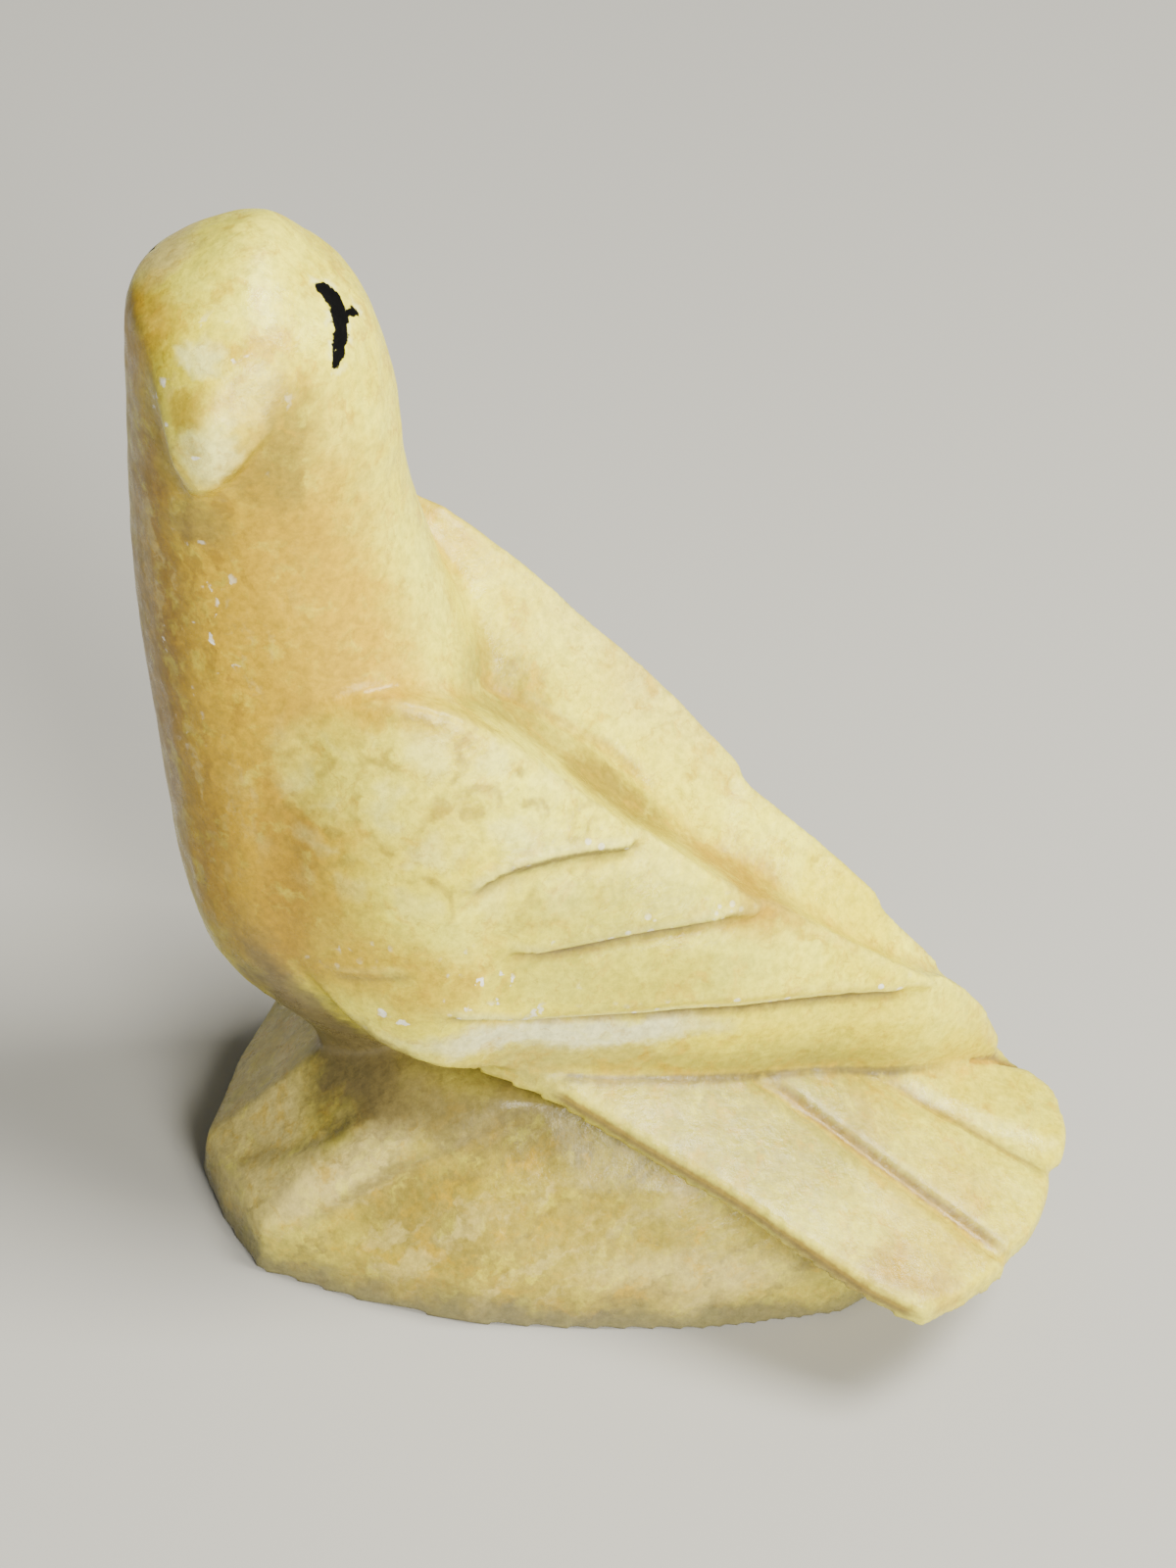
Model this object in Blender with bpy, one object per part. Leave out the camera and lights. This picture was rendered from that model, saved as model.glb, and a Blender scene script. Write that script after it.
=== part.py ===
# Soapstone bird on a rock, carved from one piece of stone.
# Metres, +Z up. The origin is the middle of the rock's flat underside.
# The bird looks along -Y with its head turned to +X, and its tail points along +Y.

import math

import bmesh
import bpy
from mathutils import Vector

# The bird's height above the table, and the small unit in which its form is laid out
BIRD_HEIGHT = 0.0463
UNITS_TALL = 46.3
BIRD_UNIT = BIRD_HEIGHT / UNITS_TALL

# Rock
BASE_LENGTH = 0.0320
BASE_WIDTH = 0.0203
RIM_HEIGHT = 0.0026
MOUND_HEIGHT = 0.0092

# Tail
TAIL_THICKNESS = 0.0012

# Wings: each feather lies one step under the one above, a share of the bird's height
FEATHER_STEP = BIRD_HEIGHT * 0.0119

# Points round a ring, and places where the forms are ruled
RING_POINTS = 36
COLUMN_LEVELS = 29
TRUNK_STATIONS = 22
WING_STATIONS = 30

# Points closer than this are one point
SAME_POINT = 0.00001


def unit(value):
    return value * BIRD_UNIT


def clear_scene():
    for item in list(bpy.data.objects):
        bpy.data.objects.remove(item, do_unlink=True)


def smooth_rows(rows, at):
    """Values at a place along the first column, with smooth slopes between rows."""
    if at <= rows[0][0]:
        return rows[0][1:]
    if at >= rows[-1][0]:
        return rows[-1][1:]
    index = 0
    while rows[index + 1][0] < at:
        index += 1
    before = rows[max(index - 1, 0)]
    start = rows[index]
    end = rows[index + 1]
    after = rows[min(index + 2, len(rows) - 1)]
    span = end[0] - start[0]
    part = (at - start[0]) / span
    values = []
    for column in range(1, len(start)):
        slope_start = (end[column] - before[column]) / (end[0] - before[0]) * span
        slope_end = (after[column] - start[column]) / (after[0] - start[0]) * span
        cube = 2 * part ** 3 - 3 * part ** 2
        value = (cube + 1) * start[column] - cube * end[column]
        value += (part ** 3 - 2 * part ** 2 + part) * slope_start
        value += (part ** 3 - part ** 2) * slope_end
        values.append(value)
    return values


def spread(start, end, count):
    return [start + (end - start) * step / (count - 1) for step in range(count)]


def loft(name, rings):
    """Closed solid through rings that all have the same number of points."""
    shape = bmesh.new()
    rows = [[shape.verts.new(point) for point in ring] for ring in rings]
    count = len(rings[0])
    for lower, upper in zip(rows, rows[1:]):
        for index in range(count):
            following = (index + 1) % count
            shape.faces.new((lower[index], lower[following], upper[following], upper[index]))
    shape.faces.new(list(reversed(rows[0])))
    shape.faces.new(rows[-1])
    bmesh.ops.remove_doubles(shape, verts=shape.verts[:], dist=SAME_POINT)
    bmesh.ops.dissolve_degenerate(shape, edges=shape.edges[:], dist=SAME_POINT)
    bmesh.ops.recalc_face_normals(shape, faces=shape.faces[:])
    mesh = bpy.data.meshes.new(name)
    shape.to_mesh(mesh)
    shape.free()
    return bpy.data.objects.new(name, mesh)


# Breast, neck and head: level rings from the belly to the crown.
# Each row: height, middle X, front Y, back Y, half width.
COLUMN_ROWS = (
    (6.0, 0.0, -10.6, -6.0, 2.6),
    (8.5, 0.0, -11.8, -5.0, 3.6),
    (11.0, 0.0, -14.0, -4.0, 5.0),
    (13.0, 0.0, -15.9, -3.5, 6.0),
    (16.0, 0.0, -16.9, -3.0, 6.8),
    (20.0, 0.0, -17.6, -3.0, 6.9),
    (24.0, 0.0, -18.2, -4.0, 6.4),
    (28.0, 0.0, -18.8, -5.5, 5.9),
    (32.0, 0.0, -19.2, -7.3, 5.4),
    (36.0, 0.0, -19.4, -8.7, 5.2),
    (40.0, 0.1, -19.5, -9.4, 5.3),
    (42.4, 0.1, -19.5, -10.2, 5.3),
    (43.6, 0.1, -19.4, -10.9, 5.0),
    (44.4, 0.1, -18.8, -11.8, 4.3),
    (45.4, 0.0, -17.3, -13.1, 3.1),
    (46.0, -0.1, -16.1, -13.9, 2.0),
    (46.3, -0.1, -15.6, -14.3, 1.1),
)
CROWN_FOOT = 42.4
CROWN_LEVELS = [43.1, 43.6, 44.0, 44.6, 45.2, 45.8, 46.3]


def column():
    rings = []
    for height in spread(COLUMN_ROWS[0][0], CROWN_FOOT, COLUMN_LEVELS) + CROWN_LEVELS:
        middle_x, front, back, half_width = smooth_rows(COLUMN_ROWS, height)
        ring = []
        for index in range(RING_POINTS):
            angle = math.tau * index / RING_POINTS
            x = middle_x + half_width * math.cos(angle)
            y = (front + back) / 2 + (back - front) / 2 * math.sin(angle)
            ring.append((unit(x), unit(y), unit(height)))
        rings.append(ring)
    return loft("column", rings)


# Trunk: upright rings from the breast to the rump.
# Each row: Y, middle height, half width, half height.
TRUNK_ROWS = (
    (-13.0, 18.0, 4.0, 5.0),
    (-8.0, 18.0, 6.8, 9.3),
    (-5.0, 17.3, 6.6, 9.4),
    (0.0, 15.4, 5.4, 7.9),
    (4.0, 13.9, 3.9, 6.2),
    (8.0, 12.6, 2.2, 4.6),
    (11.0, 11.6, 0.9, 3.0),
)


def trunk():
    rings = []
    for place in spread(TRUNK_ROWS[0][0], TRUNK_ROWS[-1][0], TRUNK_STATIONS):
        middle, half_width, half_height = smooth_rows(TRUNK_ROWS, place)
        ring = []
        for index in range(RING_POINTS):
            angle = math.tau * (index + 0.5) / RING_POINTS
            x = half_width * math.cos(angle)
            z = middle + half_height * math.sin(angle)
            ring.append((unit(x), unit(place), unit(z)))
        rings.append(ring)
    return loft("trunk", rings)


# Wing: each row has Y, ridge X and Z, lower edge X and Z, bulge, valley X and Z.
NEAR_WING_ROWS = (
    (-12.0, 5.2, 27.6, 6.3, 18.6, 0.2, -0.4, 25.4),
    (-11.2, 5.5, 28.6, 6.9, 17.4, 0.5, -0.4, 26.0),
    (-10.0, 5.6, 29.3, 7.2, 15.4, 0.9, -0.4, 26.5),
    (-8.0, 5.4, 29.9, 7.5, 13.6, 1.4, -0.4, 27.0),
    (-5.0, 5.0, 29.0, 7.9, 12.6, 1.6, -0.4, 26.2),
    (-2.0, 4.5, 26.7, 7.9, 12.1, 1.6, -0.4, 24.2),
    (1.9, 4.0, 23.6, 7.0, 11.6, 1.5, -0.4, 21.2),
    (5.0, 3.8, 21.5, 5.9, 11.1, 1.4, -0.4, 19.3),
    (7.5, 3.3, 19.6, 4.9, 10.5, 1.3, -0.4, 18.0),
    (11.0, 2.3, 17.0, 2.9, 9.6, 1.1, -0.4, 15.8),
    (15.2, 0.8, 13.8, 0.8, 8.3, 0.8, -2.4, 12.5),
    (17.2, -0.8, 11.0, -0.9, 7.3, 0.5, -3.8, 9.8),
    (18.5, -1.9, 7.7, -2.0, 6.7, 0.1, -4.6, 7.1),
)
FAR_WING_ROWS = (
    (-12.0, 5.2, 28.6, 6.3, 18.6, 0.2, -0.4, 26.2),
    (-11.2, 5.5, 29.8, 6.9, 17.4, 0.5, -0.4, 26.8),
    (-10.0, 5.6, 31.3, 7.2, 15.4, 0.9, -0.4, 27.2),
    (-8.0, 5.3, 31.4, 7.5, 13.6, 1.4, -0.4, 27.4),
    (-5.0, 5.0, 29.6, 7.9, 12.6, 1.6, -0.4, 26.3),
    (-2.0, 4.7, 27.3, 7.9, 12.1, 1.6, -0.4, 24.3),
    (1.9, 4.4, 24.3, 7.0, 11.6, 1.5, -0.4, 21.1),
    (5.8, 3.8, 20.9, 5.6, 11.0, 1.4, -0.4, 18.6),
    (9.0, 3.4, 18.7, 4.6, 10.1, 1.3, -0.4, 17.0),
    (12.4, 2.9, 16.2, 4.0, 9.2, 1.1, 0.2, 14.8),
    (15.4, 3.9, 12.5, 5.0, 7.9, 0.8, 1.7, 11.2),
    (17.6, 5.7, 8.1, 6.1, 6.6, 0.2, 3.0, 7.1),
)
# Feather lines: front Y and share of the wing's depth there, tip Y and share, and how bowed the line is.
NEAR_LINES = (
    (-5.0, 0.43, 1.9, 0.05, 1.0),
    (-3.6, 0.59, 7.5, 0.03, 1.1),
    (-5.0, 0.80, 15.2, 0.05, 1.5),
)
FAR_LINES = (
    (-4.0, 0.44, 5.8, 0.08, 1.0),
    (-3.0, 0.62, 12.4, 0.06, 1.2),
    (-5.0, 0.82, 15.4, 0.05, 1.5),
)
LINE_FADE = 2.5
STEP_SHARE = 0.03
TIP_LENGTH = 0.4
BAND_POINTS = 4
# Inner face of a wing: shares of the way to the valley, and how far it lies under the outer face.
FLOOR_SHARE = 0.5
FLOOR_DROP = 0.6
WALL_SHARE = 0.3
SLOPE_SHARE = 0.4
SLOPE_DROP = 0.15


def line_share(line, place):
    """Share of the wing's depth at which a feather line runs, nought behind its tip."""
    front, front_share, tip, tip_share, bow = line
    if place >= tip:
        return 0.0
    part = max(place - front, 0.0) / (tip - front)
    return tip_share + (front_share - tip_share) * (1.0 - part ** bow)


def wing(name, side, rows, lines):
    """Solid from the wing's outer face to the middle of the back, with a step under each feather."""
    tips = [line[2] for line in lines]
    stations = spread(rows[0][0], rows[-1][0], WING_STATIONS) + tips + [tip - TIP_LENGTH for tip in tips]
    step = FEATHER_STEP / BIRD_UNIT
    rings = []
    for place in sorted(stations):
        ridge_x, ridge_z, low_x, low_z, bulge, valley_x, valley_z = smooth_rows(rows, place)
        ridge = Vector((ridge_x, ridge_z))
        chord = Vector((low_x, low_z)) - ridge
        outward = Vector((-chord.y, chord.x)).normalized()
        live = [number for number, line in enumerate(lines) if place < line[2]] + [len(lines)]
        outer = []
        start = 0.0
        for number in range(len(lines) + 1):
            end = line_share(lines[number], place) if number < len(lines) else 1.0
            above = lines[:max(number, live[0])]
            sink = step * sum(min(max((place - line[0]) / LINE_FADE, 0.0), 1.0) for line in above)
            for part in spread(start, max(end, start), BAND_POINTS):
                swell = 4.0 * bulge * part * (1.0 - part)
                outer.append(ridge + chord * part + outward * (swell - sink))
            start = end + STEP_SHARE if end > 0 else 0.0
        valley = Vector((valley_x, valley_z))
        inner = [
            Vector((low_x + (valley_x - low_x) * FLOOR_SHARE, low_z - FLOOR_DROP)),
            Vector((valley_x, low_z + (valley_z - low_z) * WALL_SHARE)),
            valley,
            valley + (outer[0] - valley) * SLOPE_SHARE - Vector((0.0, SLOPE_DROP)),
        ]
        rings.append([(unit(side * p.x), unit(place), unit(p.y)) for p in outer + inner])
    return loft(name, rings)


# Bill: rings from the forehead down to the tip.
# Each ring: left foot, left edge, front, right edge, right foot and a point inside the head.
BILL_RINGS = (
    ((2.5, -17.1, 42.9), (3.6, -17.1, 44.0), (4.1, -15.5, 44.5),
     (3.4, -13.6, 44.5), (2.3, -13.6, 43.5), (1.5, -15.3, 43.9)),
    ((3.1, -17.7, 40.9), (4.8, -17.6, 42.4), (5.6, -15.5, 43.3),
     (4.6, -12.9, 43.1), (3.2, -12.9, 41.9), (1.5, -15.2, 42.6)),
    ((3.8, -17.1, 39.5), (5.6, -17.0, 41.2), (6.4, -15.4, 42.0),
     (5.4, -13.0, 41.9), (4.0, -13.0, 40.6), (1.5, -15.1, 41.3)),
    ((4.3, -16.6, 38.4), (6.2, -16.5, 40.1), (6.7, -15.3, 40.6),
     (6.1, -13.9, 40.5), (4.2, -14.0, 38.9), (1.5, -15.2, 40.0)),
    ((4.4, -16.0, 37.3), (6.5, -15.9, 39.1), (6.7, -15.4, 39.2),
     (6.4, -15.0, 39.3), (4.4, -15.1, 37.5), (2.0, -15.3, 38.6)),
)


def bill():
    return loft("bill", [[(unit(x), unit(y), unit(z)) for x, y, z in ring] for ring in BILL_RINGS])


# Tail fan: outline of one side after the other, seen from above, in the bird's units.
FAN_ROOT = (0.8, -4.0)
NEAR_FAN = (
    (5.8, -4.0), (6.5, -0.1), (7.6, 4.0), (8.8, 8.6), (10.5, 13.9), (10.9, 16.4),
    (9.3, 18.1), (7.4, 19.6), (6.9, 19.6), (5.4, 20.6), (3.8, 21.1), (2.3, 21.4), (1.5, 21.2),
)
FAR_FAN = (
    (1.0, 21.8), (-0.8, 21.9), (-2.9, 21.3), (-3.9, 20.0), (-4.4, 18.6), (-6.4, 16.9),
    (-6.3, 13.4), (-6.0, 8.6), (-5.8, 4.0), (-5.4, -0.1), (-5.0, -4.0),
)
FAN_TOP_Z = 14.0
FAN_SLOPE = 0.30
FAN_DROOP = 0.11
# Rows of points between the root and the outline, as shares of the way
FAN_SHARES = (0.12, 0.4, 0.7, 1.0)


def fan_height(x, y):
    reach = math.hypot(x - FAN_ROOT[0], y - FAN_ROOT[1])
    return FAN_TOP_Z - FAN_SLOPE * reach - FAN_DROOP * abs(x - FAN_ROOT[0])


def tail():
    """Fan of stone as thick as TAIL_THICKNESS, with rays from its root to its outline."""
    outline = NEAR_FAN + FAR_FAN
    shape = bmesh.new()
    layers = []
    for drop in (0.0, TAIL_THICKNESS / BIRD_UNIT):
        rows = []
        for part in FAN_SHARES:
            row = []
            for x, y in outline:
                px = FAN_ROOT[0] + (x - FAN_ROOT[0]) * part
                py = FAN_ROOT[1] + (y - FAN_ROOT[1]) * part
                row.append(shape.verts.new((unit(px), unit(py), unit(fan_height(px, py) - drop))))
            rows.append(row)
        root_height = fan_height(*FAN_ROOT) - drop
        root = shape.verts.new((unit(FAN_ROOT[0]), unit(FAN_ROOT[1]), unit(root_height)))
        for first, second in zip(rows[0], rows[0][1:]):
            shape.faces.new((root, first, second))
        for inner, outer in zip(rows, rows[1:]):
            for index in range(len(outline) - 1):
                shape.faces.new((inner[index], outer[index], outer[index + 1], inner[index + 1]))
        border = [root] + [row[0] for row in rows] + rows[-1][1:] + [row[-1] for row in reversed(rows[:-1])]
        layers.append(border)
    upper, lower = layers
    for index in range(len(upper)):
        following = (index + 1) % len(upper)
        shape.faces.new((upper[index], upper[following], lower[following], lower[index]))
    bmesh.ops.recalc_face_normals(shape, faces=shape.faces[:])
    mesh = bpy.data.meshes.new("tail")
    shape.to_mesh(mesh)
    shape.free()
    return bpy.data.objects.new("tail", mesh)


# Grooves between the tail feathers: start X and Y, end X and Y, half width, depth.
TAIL_GROOVES = (
    (2.3, 6.4, 7.7, 20.8, 0.45, 0.55),
    (0.6, 11.5, 1.5, 22.6, 1.00, 0.45),
    (-1.2, 11.5, -4.4, 21.0, 0.40, 0.45),
)
GROOVE_HEADROOM = 0.5


def groove(number, start_x, start_y, end_x, end_y, half_width, depth):
    """Wedge whose lower edge runs along a groove of the tail."""
    across = Vector((end_y - start_y, start_x - end_x)).normalized() * half_width
    widen = (depth + GROOVE_HEADROOM) / depth
    rings = []
    for x, y in ((start_x, start_y), (end_x, end_y)):
        z = fan_height(x, y)
        low = (unit(x), unit(y), unit(z - depth))
        left = (unit(x - across.x * widen), unit(y - across.y * widen), unit(z + GROOVE_HEADROOM))
        right = (unit(x + across.x * widen), unit(y + across.y * widen), unit(z + GROOVE_HEADROOM))
        rings.append([low, left, right])
    return loft("tail groove %d" % number, rings)


# Rock outline on the table: share of half the width, share of half the length.
ROCK_OUTLINE = (
    (0.41, -0.94), (0.68, -0.84), (0.91, -0.72), (0.99, -0.44), (1.02, -0.14), (0.95, 0.17),
    (0.85, 0.48), (0.64, 0.84), (0.40, 0.98), (0.05, 1.03), (-0.30, 0.98), (-0.62, 0.78),
    (-0.85, 0.45), (-0.97, 0.10), (-1.00, -0.24), (-0.93, -0.50), (-0.76, -0.74), (-0.52, -0.85), (-0.05, -0.91),
)
# Levels of the rock: height, share of the outline, and how far the ring moves back.
ROCK_LEVELS = (
    (0.0, 1.0, 0.0),
    (RIM_HEIGHT * 0.6, 1.0, 0.0),
    (RIM_HEIGHT, 0.98, 0.0),
    (RIM_HEIGHT + (MOUND_HEIGHT - RIM_HEIGHT) * 0.55, 0.78, 0.0004),
    (MOUND_HEIGHT, 0.54, -0.0002),
)


def rock():
    rings = []
    for height, share, shift in ROCK_LEVELS:
        ring = []
        for x, y in ROCK_OUTLINE:
            ring.append((x * share * BASE_WIDTH / 2, y * share * BASE_LENGTH / 2 + shift, height))
        rings.append(ring)
    return loft("rock", rings)


def cut(target, cutter):
    modifier = target.modifiers.new(cutter.name, "BOOLEAN")
    modifier.operation = "DIFFERENCE"
    modifier.solver = "EXACT"
    modifier.object = cutter


def join(target, forms):
    """One union with every form in a collection."""
    modifier = target.modifiers.new("one stone", "BOOLEAN")
    modifier.operation = "UNION"
    modifier.solver = "EXACT"
    modifier.operand_type = "COLLECTION"
    modifier.collection = forms
    modifier.use_self = True


STONE_COLOUR = (0.78, 0.66, 0.36, 1.0)
STONE_ROUGHNESS = 0.35


def stone_material():
    material = bpy.data.materials.new("soapstone")
    material.use_nodes = True
    shader = material.node_tree.nodes["Principled BSDF"]
    shader.inputs["Base Color"].default_value = STONE_COLOUR
    shader.inputs["Roughness"].default_value = STONE_ROUGHNESS
    shader.inputs["Metallic"].default_value = 0.0
    return material


def main():
    clear_scene()
    collection = bpy.data.collections.new("soapstone bird")
    forms = bpy.data.collections.new("joined forms")
    cutters = bpy.data.collections.new("cutters")
    for group in (collection, forms, cutters):
        bpy.context.scene.collection.children.link(group)
    body = trunk()
    body.name = "bird_on_rock"
    body.data.materials.append(stone_material())
    collection.objects.link(body)
    fan = tail()
    for number, row in enumerate(TAIL_GROOVES):
        cutter = groove(number, *row)
        cutters.objects.link(cutter)
        cut(fan, cutter)
    near = wing("near wing", 1.0, NEAR_WING_ROWS, NEAR_LINES)
    far = wing("far wing", -1.0, FAR_WING_ROWS, FAR_LINES)
    for form in (column(), bill(), near, far, fan, rock()):
        forms.objects.link(form)
    join(body, forms)
    for guide in list(forms.objects) + list(cutters.objects):
        guide.hide_render = True
        guide.display_type = "WIRE"


main()
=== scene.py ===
import math

import bpy
import numpy as np
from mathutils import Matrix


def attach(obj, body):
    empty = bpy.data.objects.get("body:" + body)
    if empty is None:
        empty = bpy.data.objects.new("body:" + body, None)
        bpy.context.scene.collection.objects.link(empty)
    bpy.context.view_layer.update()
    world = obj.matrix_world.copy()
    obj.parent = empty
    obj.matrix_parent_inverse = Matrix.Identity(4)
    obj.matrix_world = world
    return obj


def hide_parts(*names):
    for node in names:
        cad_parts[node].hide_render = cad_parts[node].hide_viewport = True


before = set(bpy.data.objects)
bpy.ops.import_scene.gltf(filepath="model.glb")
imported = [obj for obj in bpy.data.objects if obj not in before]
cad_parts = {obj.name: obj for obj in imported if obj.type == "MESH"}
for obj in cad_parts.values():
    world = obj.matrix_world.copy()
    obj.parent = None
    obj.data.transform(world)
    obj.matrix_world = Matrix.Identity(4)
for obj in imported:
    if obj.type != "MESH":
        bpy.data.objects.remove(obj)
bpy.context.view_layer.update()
mm = 0.001


# the carved skin
skinSettings = {
    "node": "bird_on_rock",
    "mergeGap": 0.01,
    "voxel": 0.238,
    "softPasses": 3,
    "joinPasses": 24,
    "joinSpread": 1.6,
    "curveParts": 6,
    "shortestPart": 0.01,
    "farGap": 3.0,
    "sideWidth": 0.15,
    "strokeFade": 0.12,
    "facetFaces": 420,
    "facetPasses": 3,
    "rockFacets": 0.7,
    "neckFacets": 0.25,
    "grain": 0.10,
    "grainSize": 1.8,
    "flatBelow": 0.12,
}

# places where the carver rounded one form into the next: line, reach
softJoins = [
    {"line": [(5.8, -12.5, 29.0), (6.6, -11.8, 24.0), (6.9, -11.6, 18.0), (6.0, -9.5, 12.5)], "reach": 1.6},
    {"line": [(-5.8, -12.5, 29.0), (-6.6, -11.8, 24.0), (-6.9, -11.6, 18.0), (-6.0, -9.5, 12.5)],
     "reach": 1.6},
    {"line": [(5.6, -11.5, 28.0), (5.8, -9.9, 28.6), (5.7, -7.9, 29.1), (5.4, -6.4, 28.7)], "reach": 1.5},
    {"line": [(-5.6, -11.5, 28.5), (-5.8, -9.9, 30.2), (-5.7, -7.9, 30.8), (-5.4, -6.4, 30.0)],
     "reach": 1.5},
    {"line": [(3.6, -8.0, 30.5), (0.0, -6.2, 29.0), (-3.6, -8.0, 30.5)], "reach": 1.6},
    {"line": [(5.4, -10.4, 29.6), (5.2, -9.2, 30.0)], "reach": 1.6},
    {"line": [(5.2, -9.6, 29.2), (4.9, -8.4, 29.4), (5.2, -7.0, 29.6), (5.3, -5.6, 28.8)], "reach": 1.2},
    {"line": [(3.0, -9.5, 9.0), (4.0, -5.0, 9.2), (4.0, 0.0, 9.2), (3.5, 5.0, 9.2)], "reach": 1.8},
    {"line": [(-3.0, -9.5, 9.0), (-4.0, -5.0, 9.2), (-4.0, 0.0, 9.2), (-3.5, 5.0, 9.2)], "reach": 1.8},
    {"line": [(4.4, -17.6, 42.9), (4.9, -15.6, 43.9), (4.6, -13.4, 43.4)], "reach": 1.2},
    {"line": [(5.6, -15.5, 43.3), (6.4, -15.4, 42.0), (6.7, -15.3, 40.6), (6.6, -15.4, 39.3)],
     "reach": 0.7},
    {"line": [(0.6, 12.0, 8.8), (1.4, 17.4, 7.3), (2.2, 21.6, 6.0)], "reach": 1.3},
    {"line": [(-10.0, -3.0, 2.6), (-8.0, -12.0, 2.4), (0.0, -14.6, 2.6), (6.8, -12.6, 2.6),
              (10.2, -4.0, 2.6), (9.4, 4.0, 2.6), (6.6, 12.5, 2.6), (0.0, 16.2, 2.6), (-7.5, 11.0, 2.6),
              (-10.0, -3.0, 2.6)],
     "reach": 1.3},
]

# strokes of the knife: line, the way the cut surface faces, its higher side, how far the two sides part and
# the reach of that, width and depth of the cut itself, how dark the line is and how pale its higher edge,
# and where needed how orange the line is and the share of it over which it fades at each end
# the dark of a line is partly dirt in the cut and partly painted shade; the pale of its higher edge is a
# painted highlight
strokes = [
    # feather lines of the near wing
    {"line": [(3.7, 2.2, 22.9), (5.6, -0.3, 23.3), (6.8, -2.5, 23.1), (7.5, -4.1, 22.2)],
     "faces": (0.8, 0.4, 0.4), "high": (0, 0, 1), "step": 0.16, "reach": 0.7, "width": 0.16, "depth": 0.10,
     "dark": 0.9, "pale": 0.5},
    {"line": [(3.4, 6.7, 19.5), (4.7, 3.6, 19.4), (5.6, 1.5, 19.2), (6.5, -0.7, 18.9), (7.4, -2.5, 19.3)],
     "faces": (0.8, 0.4, 0.4), "high": (0, 0, 1), "step": 0.16, "reach": 0.7, "width": 0.16, "depth": 0.10,
     "dark": 0.9, "pale": 0.6},
    {"line": [(0.4, 13.6, 13.8), (2.7, 9.4, 14.6), (4.5, 5.8, 15.0), (5.9, 1.4, 15.1), (6.5, -1.2, 15.1),
              (7.6, -3.2, 15.7), (8.1, -4.6, 16.0)],
     "faces": (0.9, 0.1, 0.2), "high": (0, 0, 1), "step": 0.20, "reach": 0.8, "width": 0.18, "depth": 0.14,
     "dark": 1.0, "pale": 1.0, "fade": 0.03},
    {"line": [(7.5, -9.4, 16.7), (8.1, -7.6, 17.4), (8.3, -6.1, 18.1)], "faces": (0.9, -0.3, 0.2),
     "high": (0, 0, 1), "step": 0.05, "reach": 0.8, "width": 0.2, "depth": 0.05, "dark": 0.3, "pale": 0.2},
    # feather lines of the far wing
    {"line": [(-4.6, 5.8, 20.4), (-6.2, 2.0, 21.6), (-7.2, -1.0, 22.0), (-7.6, -3.5, 22.4)],
     "faces": (-0.8, 0.4, 0.4), "high": (0, 0, 1), "step": 0.16, "reach": 0.7, "width": 0.16, "depth": 0.10,
     "dark": 0.8, "pale": 0.5},
    # painted shadow along the lower edges of the wings
    {"line": [(4.8, -3.7, 9.4), (5.9, 1.3, 11.2), (4.4, 5.3, 10.6), (1.8, 10.5, 9.5), (-1.5, 16.0, 7.7)],
     "faces": (0.8, 0.2, -0.2), "high": (0, 0, 1), "step": 0.0, "reach": 0.6, "width": 0.25, "depth": 0.0,
     "dark": 0.8, "pale": 0.0},
    # lines between the tail feathers
    {"line": [(2.7, 8.4, 9.8), (4.8, 14.0, 7.7), (6.8, 19.7, 5.6)],
     "faces": (0, 0.3, 0.95), "high": (1, 0, 0), "step": 0.06, "reach": 0.6, "width": 0.22, "depth": 0.12,
     "dark": 0.9, "pale": 0.0, "tint": 0.65},
    {"line": [(0.4, 13.5, 8.4), (1.4, 17.4, 7.3), (2.4, 21.3, 6.2)],
     "faces": (0, 0.3, 0.95), "high": (1, 0, 0), "step": 0.0, "reach": 0.8, "width": 0.5, "depth": 0.1,
     "dark": 0.5, "pale": 0.0, "tint": 0.5},
    {"line": [(-1.6, 12.6, 8.3), (-3.0, 17.0, 6.9), (-4.2, 20.6, 5.8)],
     "faces": (0, 0.3, 0.95), "high": (1, 0, 0), "step": 0.06, "reach": 0.5, "width": 0.16, "depth": 0.1,
     "dark": 0.9, "pale": 0.0, "tint": 1.0},
    # the back between the wings
    {"line": [(0.2, -5.2, 27.4), (-0.6, -2.0, 24.9), (-1.1, 0.1, 23.4), (-0.9, 2.1, 21.8)],
     "faces": (0.0, 0.6, 0.8), "high": (1, 0, 0), "step": 0.0, "reach": 0.8, "width": 0.4, "depth": 0.2,
     "dark": 0.25, "pale": 0.0, "tint": 0.8},
    # edges of the rock's faces, from the bird's breast down
    {"line": [(9.2, -10.1, 2.8), (8.4, -8.0, 4.6), (7.7, -5.9, 6.2), (6.8, -3.2, 7.7), (5.5, -0.8, 9.2)],
     "faces": (0.8, -0.2, 0.6), "high": (-0.5, -0.8, 0.3), "step": 0.26, "reach": 2.6, "width": 0.45,
     "depth": 0.0, "dark": 0.3, "pale": 0.0},
    {"line": [(5.9, -13.5, 2.8), (6.7, -9.8, 5.5), (6.1, -6.9, 7.9)],
     "faces": (0.6, -0.5, 0.7), "high": (0.5, 0.8, 0.2), "step": 0.14, "reach": 1.8, "width": 0.4,
     "depth": 0.0, "dark": 0.0, "pale": 0.0},
    # near edge of the tail, with a line of painted shade on its side
    {"line": [(6.4, -0.1, 10.9), (7.6, 4.0, 9.6), (8.8, 8.6, 8.15), (10.5, 13.9, 6.3), (10.9, 16.2, 5.6)],
     "faces": (0.9, -0.3, 0.0), "high": (0, 0, 1), "step": 0.0, "reach": 0.6, "width": 0.3, "depth": 0.0,
     "dark": 0.85, "pale": 0.0, "tint": 0.5, "fade": 0.04},
]


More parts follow.
